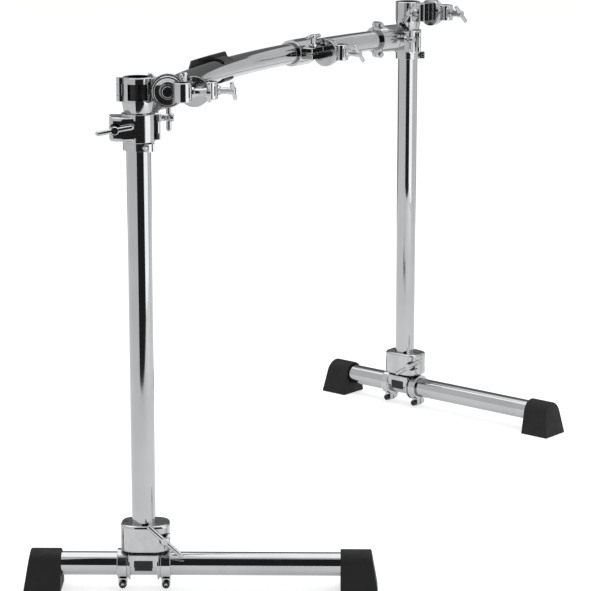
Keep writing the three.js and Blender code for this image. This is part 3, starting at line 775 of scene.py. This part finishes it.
def saddle(hand):
    """The cast sleeve round the base tube, with two pinch bands and a pad for the leg collar."""
    slide = Vector(JOINTS[f"{hand}_foot_bar_slide"]["axis"]).normalized()
    columns = (slide, UP.cross(slide).normalized(), UP, post_axis(hand))
    own = Matrix([[column[row] for column in columns] for row in range(3)] + [(0, 0, 0, 1)])
    centre = (0, 0, SADDLE_HEIGHT)
    half = SADDLE_LENGTH / 2
    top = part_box(f"{hand}_leg_saddle")[1].z
    pinch = (SADDLE_LENGTH - SADDLE_BAND) / 2
    block_radius = BORE_RADIUS + SADDLE_BLOCK_WALL
    solids = [drum("X", BORE_RADIUS + SADDLE_GROOVE_WALL, 2 * MM - half, half - 2 * MM, centre)]
    for low, high in ((-half, SADDLE_BAND - half), (half - SADDLE_BAND, half)):
        solids.append(drum("X", BORE_RADIUS + SADDLE_WALL, low, high, centre, 1.2 * MM))
    solids.append(drum("X", block_radius, -SADDLE_BLOCK / 2, SADDLE_BLOCK / 2, centre))
    solids.append(drum("Z", SADDLE_PAD_RADIUS, SADDLE_HEIGHT, top, edge=1 * MM))
    solids.append(block(
        (-SADDLE_PAD_RADIUS, -SADDLE_PAD_RADIUS, SADDLE_HEIGHT),
        (SADDLE_PAD_RADIUS, SADDLE_PAD_RADIUS, top - SADDLE_SHOULDER), 2 * MM,
    ))
    for side in (-1, 1):
        face = side * SADDLE_BLOCK / 2
        solids.append(drum(
            "X", block_radius + SADDLE_RIB_RISE, face - SADDLE_RIB / 2, face + SADDLE_RIB / 2, centre, 0.5 * MM,
        ))
        at = (side * pinch, 0, PINCH_HEIGHT)
        width = PINCH_LUG_WIDTH / 2
        solids.append(drum("Y", PINCH_LUG_RADIUS, -width, width, at, 1 * MM))
        solids.append(block(
            (at[0] - PINCH_LUG_RADIUS, -width, PINCH_HEIGHT),
            (at[0] + PINCH_LUG_RADIUS, width, SADDLE_HEIGHT - BORE_RADIUS), 0.8 * MM,
        ))
    window = block(
        (-WINDOW_WIDTH / 2, -block_radius - WINDOW_LIP, SADDLE_HEIGHT - WINDOW_HEIGHT / 3),
        (WINDOW_WIDTH / 2, WINDOW_DEPTH - block_radius, SADDLE_HEIGHT + WINDOW_HEIGHT * 2 / 3), 1 * MM,
    )
    holes = [
        drum("X", BORE_RADIUS, -FAR, FAR, centre), window,
        block((-FAR, -SPLIT_GAP, -FAR), (FAR, SPLIT_GAP, SADDLE_HEIGHT - BORE_RADIUS / 2)),
    ]
    for side in (-1, 1):
        holes.append(drum("Y", KEY_SHANK_RADIUS + KEY_EDGE + SEAT_GAP, -FAR, FAR, (side * pinch, 0, PINCH_HEIGHT)))
    node = f"{hand}_leg_saddle"
    dress(node, placed(carved(solids, holes), own), CASTING_CHROME, True)
    floor = WINDOW_DEPTH - block_radius
    liner = block(
        (-WINDOW_WIDTH / 2 + LINER, floor - LINER, SADDLE_HEIGHT - WINDOW_HEIGHT / 3 + LINER),
        (WINDOW_WIDTH / 2 - LINER, floor, SADDLE_HEIGHT + WINDOW_HEIGHT * 2 / 3 - LINER),
    )
    dark_piece(f"{hand}_window_liner", placed(liner, own), BODY_OF[node])


def rack_jaw(hand):
    """The post jaw of a rack clamp: a rounded block with a pocket for the T-bolt's hub."""
    node = f"{hand}_rack_jaw"
    centre = post_axis(hand) + UP * middle(node).z
    own = clamp_frame("rack", node, f"{hand}_rack_t_bolt", centre, UP)
    hinge = own.inverted() @ Vector(JOINTS[f"{node}_hinge"]["pos_m"])
    bolt = own.inverted() @ Vector(JOINTS[f"{hand}_rack_t_bolt_turn"]["pos_m"])
    top = (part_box(node)[1].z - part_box(node)[0].z) / 2
    bottom = -top
    outer = BORE_RADIUS + LEG_WALL
    low, high = bottom + LEG_WALL / 2, top - LEG_WALL / 2
    face = bowed_block(
        (-RACK_FACE_OVERLAP, -RACK_FACE_DEPTH, low), (outer + EAR_REACH, -SPLIT_GAP / 2, high),
        RACK_FACE_EDGE, RACK_FACE_BOW,
    )
    pocket = carved([
        block((0, -FAR, bolt.z - RACK_POCKET), (FAR, -RACK_POCKET_FLOOR, bolt.z + RACK_POCKET)),
        drum("Y", RACK_POCKET, -FAR, -RACK_POCKET_FLOOR, (RACK_POCKET / 2, 0, bolt.z)),
    ])
    room = drum("Y", HUB_ROOM, -FAR, -EAR_THICKNESS, (bolt.x, 0, bolt.z))
    pin_hole = drum("Z", PIN_RADIUS + PIN_FIT, -FAR, FAR, (hinge.x, 0, 0))
    face = carved([face], [drum("Z", BORE_RADIUS + MM, bottom - MM, top + MM)])
    half = collar_half(
        -1, outer, BORE_RADIUS, bottom, top, low, high, hinge.x, None, [face], [pocket, room, pin_hole],
    )
    dress(node, placed(half, own), CASTING_CHROME, True)


def toothed_disc(axis, radius, low, high, centre):
    """A ratchet disc whose rim is toothed over part of its thickness."""
    shape = bmesh.new()
    bmesh.ops.create_circle(shape, cap_ends=True, segments=2 * RATCHET_TEETH, radius=radius)
    for number, vertex in enumerate(shape.verts):
        if number % 2:
            vertex.co *= 1 - TOOTH_DEPTH / radius
    lid = bmesh.ops.extrude_face_region(shape, geom=shape.faces[:])
    raised = [item for item in lid["geom"] if isinstance(item, bmesh.types.BMVert)]
    bmesh.ops.translate(shape, vec=(0, 0, high - low), verts=raised)
    bmesh.ops.translate(shape, vec=(0, 0, low), verts=shape.verts[:])
    bmesh.ops.recalc_face_normals(shape, faces=shape.faces[:])
    turn = Matrix.Rotation(-math.pi / 2, 4, "X") if axis == "Y" else Matrix.Identity(4)
    shape.transform(Matrix.Translation(centre) @ turn)
    return shape


def post_shell(outer, bottom, top):
    """The post clamp's sleeve: straight above, with a stepped belly that tapers to the foot."""
    step = POST_WINDOW_LOW - 1.6 * MM
    edge = 1 * MM
    return spin_outline([
        (0, bottom), (outer - BELLY_TAPER - edge, bottom), (outer - BELLY_TAPER, bottom + edge),
        (outer, step - 3 * MM), (outer, step), (outer - BELLY_STEP, step + edge),
        (outer - BELLY_STEP, top - edge), (outer - BELLY_STEP - edge, top), (0, top),
    ], SIDES)


def post_windows():
    """Two windows through the sleeve, above its belly."""
    holes = []
    for side in (-1, 1):
        near, far = sorted((side * POST_WINDOW_BAR / 2, side * (POST_WINDOW_BAR / 2 + POST_WINDOW_WIDTH)))
        holes.append(block((near, 0, POST_WINDOW_LOW), (far, FAR, POST_WINDOW_HIGH)))
    return holes


def window_bush(name, own, half):
    """The dark nylon bush that shows in the sleeve's windows."""
    ring = carved(
        [drum("Z", BUSH_OUTER, -half, half)], [drum("Z", BUSH_INNER, -FAR, FAR), side_room(-1)],
    )
    dark_piece(f"{name}_window_bush", placed(ring, own), name)


def holder(name, seat, own, axis):
    """The rod holder: a dished disc on the ratchet, and a split lug with the rod's bore."""
    rim = HOLDER_RADIUS
    top = HOLDER_THICKNESS
    edge = 1 * MM
    disc = spin_outline([
        (0, SEAT_GAP), (rim - edge, SEAT_GAP), (rim, SEAT_GAP + edge), (rim, top - edge), (rim - edge, top),
        (rim - HOLDER_RIM, top), (rim - HOLDER_RIM - HOLDER_DISH, top - HOLDER_DISH),
        (0, top - HOLDER_DISH - HOLDER_CONE),
    ], SIDES)
    disc.transform(Matrix.Rotation(-math.pi / 2, 4, "X"))
    bore_y = (LUG_WIDTH + SEAT_GAP) / 2
    lug = drum("Z", bore_y - SEAT_GAP, -LUG_HEIGHT / 2, LUG_HEIGHT / 2, (ROD_AT, bore_y, 0), LUG_EDGE)
    ears = block(
        (ROD_AT, LUG_EAR_INSET, LUG_EAR_INSET - LUG_HEIGHT / 2),
        (LUG_LENGTH, LUG_WIDTH + SEAT_GAP - LUG_EAR_INSET, LUG_HEIGHT / 2 - LUG_EAR_INSET), LUG_EAR_EDGE,
    )
    neck = drum("Y", AXLE_HEAD + 3 * MM, SEAT_GAP, top, edge=edge)
    holes = [
        drum("Z", ROD_BORE, -FAR, FAR, (ROD_AT, bore_y, 0)),
        block((ROD_AT, bore_y - LUG_SPLIT / 2, -FAR), (LUG_LENGTH - 4 * MM, bore_y + LUG_SPLIT / 2, FAR)),
        drum("X", SHANK_RADIUS + SEAT_GAP, ROD_AT, FAR, (0, bore_y, 0)),
        drum("Y", AXLE_RADIUS + PIN_FIT, -FAR, FAR),
        drum("Y", AXLE_HEAD + SEAT_GAP, top, FAR),
    ]
    turn = Matrix.Rotation(math.pi / 2, 4, "X") if axis == "Z" else Matrix.Identity(4)
    place = own @ Matrix.Translation(seat) @ turn
    dress(f"{name}_holder", placed(carved([disc, neck, lug, ears], holes), place), CASTING_CHROME, True)


def accessory_clamp(name, on_bar):
    """A rod clamp: two collar halves, a toothed ratchet on the body and a rod holder on the ratchet."""
    swivel = JOINTS[f"{name}_swivel"]
    centre = Vector(swivel["pos_m"])
    along = Vector(swivel["axis"]).normalized() if on_bar else UP
    own = clamp_frame(name, f"{name}_jaw", f"{name}_t_bolt", centre, along)
    seat = own.inverted() @ Vector(JOINTS[f"{name}_holder_tilt"]["pos_m"])
    hinge = own.inverted() @ Vector(JOINTS[f"{name}_jaw_hinge"]["pos_m"])
    outer = KNUCKLE_RADIUS - ROD_CLAMP_WALL / 2
    outer = -hinge.x - outer
    bore = outer - ROD_CLAMP_WALL
    half = max(abs(height) for height in reach(f"{name}_jaw", centre, along))
    rise = 0 if on_bar else seat.z
    low, high = rise - FITTING_HEIGHT / 2, rise + FITTING_HEIGHT / 2
    axis = "Z" if on_bar else "Y"
    face = seat.z if on_bar else seat.y
    hub = (seat.x, 0, 0) if on_bar else (seat.x, 0, seat.z)
    start = face - RATCHET_THICKNESS
    pin_end = face + HOLDER_THICKNESS + AXLE_HEAD_LENGTH
    disc = carved([
        drum(axis, RATCHET_RADIUS, start, face - TEETH_BAND, hub, 0.8 * MM),
        toothed_disc(axis, RATCHET_RADIUS, face - TEETH_BAND - 0.6 * MM, face, hub),
    ])
    if on_bar:
        near = drum("Z", outer + SPLIT_GAP, -FAR, FAR)
        jaw_side = carved([near], [side_room(1)])
        disc = carved([disc], [jaw_side])
        neck = block((outer - EAR_INSET, SPLIT_GAP / 2, 0), (outer + EAR_REACH, EAR_THICKNESS, start + MM), 1 * MM)
    else:
        neck = block((outer - MM, EAR_THICKNESS - 2 * MM, low), (outer + EAR_REACH / 2, start + MM, high), 1 * MM)
    more = [
        neck, disc,
        drum(axis, AXLE_RADIUS, face - MM, pin_end, hub),
        drum(axis, AXLE_HEAD, face + HOLDER_THICKNESS + SEAT_GAP, pin_end, hub, 1.4 * MM),
        drum("Z", PIN_RADIUS, low, high, (hinge.x, 0, 0), PIN_EDGE),
    ]
    shell = None if on_bar else post_shell(outer, -half, half)
    windows = [] if on_bar else post_windows()
    body = collar_half(1, outer, bore, -half, half, low, high, hinge.x, shell, more, windows)
    dress(f"{name}_collar", placed(body, own), CASTING_CHROME, True)
    shell = None if on_bar else post_shell(outer, -half, half)
    pin_hole = [drum("Z", PIN_RADIUS + PIN_FIT, -FAR, FAR, (hinge.x, 0, 0))]
    jaw = collar_half(-1, outer, bore, -half, half, low, high, hinge.x, shell, (), pin_hole)
    dress(f"{name}_jaw", placed(jaw, own), CASTING_CHROME, True)
    if not on_bar:
        window_bush(name, own, half - MM)
    holder(name, seat, own, axis)
    t_bolt(f"{name}_t_bolt")
    t_bolt(f"{name}_rod_t_bolt")


# The rack, one side at a time


def leg(hand):
    slide = Vector(JOINTS[f"{hand}_foot_bar_slide"]["axis"]).normalized()
    tube = middle(f"{hand}_base_tube")
    straight_tube(f"{hand}_base_tube", tube, slide)
    for end in ("long", "short"):
        soften(f"{hand}_{end}_foot", FOOT_EDGE, FOOT_RUBBER)
        key_bolt(f"{hand}_saddle_bolt_{end}", UP.cross(slide).normalized())
    saddle(hand)
    leg_collar(hand)
    hinge_pin(f"{hand}_leg_hinge_pin")
    t_bolt(f"{hand}_leg_t_bolt")


def rack_joint(hand):
    straight_tube(f"{hand}_post", post_axis(hand), UP)
    rack_jaw(hand)
    for part in ("rack_clamp", "bar_cap"):
        soften(f"{hand}_{part}", CASTING_EDGE, CASTING_CHROME)
    soften(f"{hand}_memory_lock", LOCK_EDGE, CASTING_CHROME)
    soften(f"{hand}_memory_screw", PIN_EDGE, BOLT_CHROME)
    t_bolt(f"{hand}_rack_t_bolt")
    t_bolt(f"{hand}_bar_t_bolt")


curved_bar()
soften("badge_plate", BADGE_EDGE, BADGE_PLASTIC)
for hand in HANDS:
    leg(hand)
    rack_joint(hand)
    accessory_clamp(f"{hand}_post_clamp", False)
    accessory_clamp(f"{hand}_bar_clamp", True)


# The studio: a white floor and background, two soft boxes and one dark flag

FLOOR_SIZE = 60
FLOOR_DIFFUSE = 0.8
FLOOR_GLOW = 0.58
WORLD_FILL = 0.55
TOP_BOX_SIZE = 3
TOP_BOX_HEIGHT = 2.6
TOP_BOX_BACK = 0.45
TOP_BOX_RADIANCE = 1.15
SIDE_BOX_WIDTH = 1.6
SIDE_BOX_HEIGHT = 1.7
SIDE_BOX_AWAY = 1.8
SIDE_BOX_TURN = math.radians(70)
SIDE_BOX_RADIANCE = 1.1
FLAG_WIDTH = 1.9
FLAG_HEIGHT = 2.7
FLAG_AWAY = 1.27
FLAG_ASIDE = 0.5
FLAG_RADIANCE = 0.03
BACK_CARD_WIDTH = 4
BACK_CARD_HEIGHT = 2.2
BACK_CARD_AWAY = 2.4
BACK_CARD_RADIANCE = 0.2

LENS = 148.91
SENSOR = 36
CAMERA_FROM_ROW = Vector((-3.94809, -1.64273, 1.31774))
CAMERA_TILT = math.radians(77.284)
CAMERA_TURN = math.radians(-67.52)


def seen_ray(tree):
    """1 for camera, glossy and transmission rays."""
    path = add_node(tree, "ShaderNodeLightPath")
    first = add_node(tree, "ShaderNodeMath", operation="MAXIMUM")
    both = add_node(tree, "ShaderNodeMath", operation="MAXIMUM")
    tree.links.new(path.outputs["Is Camera Ray"], first.inputs[0])
    tree.links.new(path.outputs["Is Glossy Ray"], first.inputs[1])
    tree.links.new(first.outputs["Value"], both.inputs[0])
    tree.links.new(path.outputs["Is Transmission Ray"], both.inputs[1])
    return both.outputs["Value"]


def studio_world():
    world = bpy.data.worlds.new("white studio")
    world.use_nodes = True
    tree = world.node_tree
    background = tree.nodes["Background"]
    background.inputs["Color"].default_value = (1, 1, 1, 1)
    strength = remapped(tree, seen_ray(tree), 0, 1, WORLD_FILL, 1)
    tree.links.new(strength, background.inputs["Strength"])
    bpy.context.scene.world = world


def studio_floor():
    shape = bmesh.new()
    bmesh.ops.create_grid(shape, x_segments=1, y_segments=1, size=FLOOR_SIZE / 2)
    mesh = bpy.data.meshes.new("studio floor")
    shape.to_mesh(mesh)
    shape.free()
    material = bpy.data.materials.new("pale floor paint")
    material.use_nodes = True
    tree = material.node_tree
    shader = tree.nodes["Principled BSDF"]
    shader.inputs["Base Color"].default_value = (FLOOR_DIFFUSE, FLOOR_DIFFUSE, FLOOR_DIFFUSE, 1)
    shader.inputs["Roughness"].default_value = 1
    shader.inputs["Specular IOR Level"].default_value = 0
    shader.inputs["Emission Color"].default_value = (1, 1, 1, 1)
    glow = remapped(tree, seen_ray(tree), 0, 1, 0, FLOOR_GLOW)
    tree.links.new(glow, shader.inputs["Emission Strength"])
    mesh.materials.append(material)
    floor = bpy.data.objects.new("studio_floor", mesh)
    bpy.context.scene.collection.objects.link(floor)


def soft_box(name, place, aim, width, height, radiance):
    lamp = bpy.data.lights.new(name, "AREA")
    lamp.shape = "RECTANGLE"
    lamp.size = width
    lamp.size_y = height
    lamp.energy = radiance * math.pi * width * height
    box = bpy.data.objects.new(name, lamp)
    box.matrix_world = Matrix.Translation(place) @ (
        (aim - place).to_track_quat("-Z", "Y").to_matrix().to_4x4()
    )
    box.visible_camera = False
    bpy.context.scene.collection.objects.link(box)


def card(name, place, toward, width, height, radiance):
    """A standing card that only reflections show, facing a direction."""
    shape = bmesh.new()
    bmesh.ops.create_grid(shape, x_segments=1, y_segments=1, size=0.5)
    bmesh.ops.scale(shape, vec=(width, height, 1), verts=shape.verts[:])
    turn = toward.to_track_quat("Z", "Y").to_matrix().to_4x4()
    shape.transform(Matrix.Translation(place + UP * height / 2) @ turn)
    mesh = bpy.data.meshes.new(name)
    shape.to_mesh(mesh)
    shape.free()
    material = bpy.data.materials.new(f"{name} cloth")
    material.use_nodes = True
    shader = material.node_tree.nodes["Principled BSDF"]
    shader.inputs["Base Color"].default_value = (0, 0, 0, 1)
    shader.inputs["Specular IOR Level"].default_value = 0
    shader.inputs["Emission Color"].default_value = (1, 1, 1, 1)
    shader.inputs["Emission Strength"].default_value = radiance
    mesh.materials.append(material)
    cloth = bpy.data.objects.new(name, mesh)
    cloth.visible_camera = False
    cloth.visible_diffuse = False
    cloth.visible_shadow = False
    bpy.context.scene.collection.objects.link(cloth)


def studio():
    row = (post_axis("left") + post_axis("right")) / 2
    camera = bpy.data.cameras.new("camera")
    camera.lens = LENS
    camera.sensor_width = SENSOR
    view = bpy.data.objects.new("camera", camera)
    view.location = row + CAMERA_FROM_ROW
    view.rotation_euler = (CAMERA_TILT, 0, CAMERA_TURN)
    bpy.context.scene.collection.objects.link(view)
    bpy.context.scene.camera = view
    near_post = post_axis("left")
    sight = view.location - near_post
    sight.z = 0
    sight.normalize()
    right = UP.cross(sight)
    half_post = UP * middle("left_post").z
    side_way = sight * math.cos(SIDE_BOX_TURN) + right * math.sin(SIDE_BOX_TURN)
    side_place = near_post + side_way * SIDE_BOX_AWAY + UP * SIDE_BOX_HEIGHT / 2
    soft_box("side_soft_box", side_place, row + half_post, SIDE_BOX_WIDTH, SIDE_BOX_HEIGHT, SIDE_BOX_RADIANCE)
    top_place = row - sight * TOP_BOX_BACK + UP * TOP_BOX_HEIGHT
    soft_box("top_soft_box", top_place, row, TOP_BOX_SIZE, TOP_BOX_SIZE, TOP_BOX_RADIANCE)
    flag_place = near_post + sight * FLAG_AWAY + right * FLAG_ASIDE
    card("dark_flag", flag_place, -sight, FLAG_WIDTH, FLAG_HEIGHT, FLAG_RADIANCE)
    back_place = row - sight * BACK_CARD_AWAY
    card("back_card", back_place, sight, BACK_CARD_WIDTH, BACK_CARD_HEIGHT, BACK_CARD_RADIANCE)
    studio_world()
    studio_floor()
    bpy.context.scene.view_settings.view_transform = "Standard"


studio()
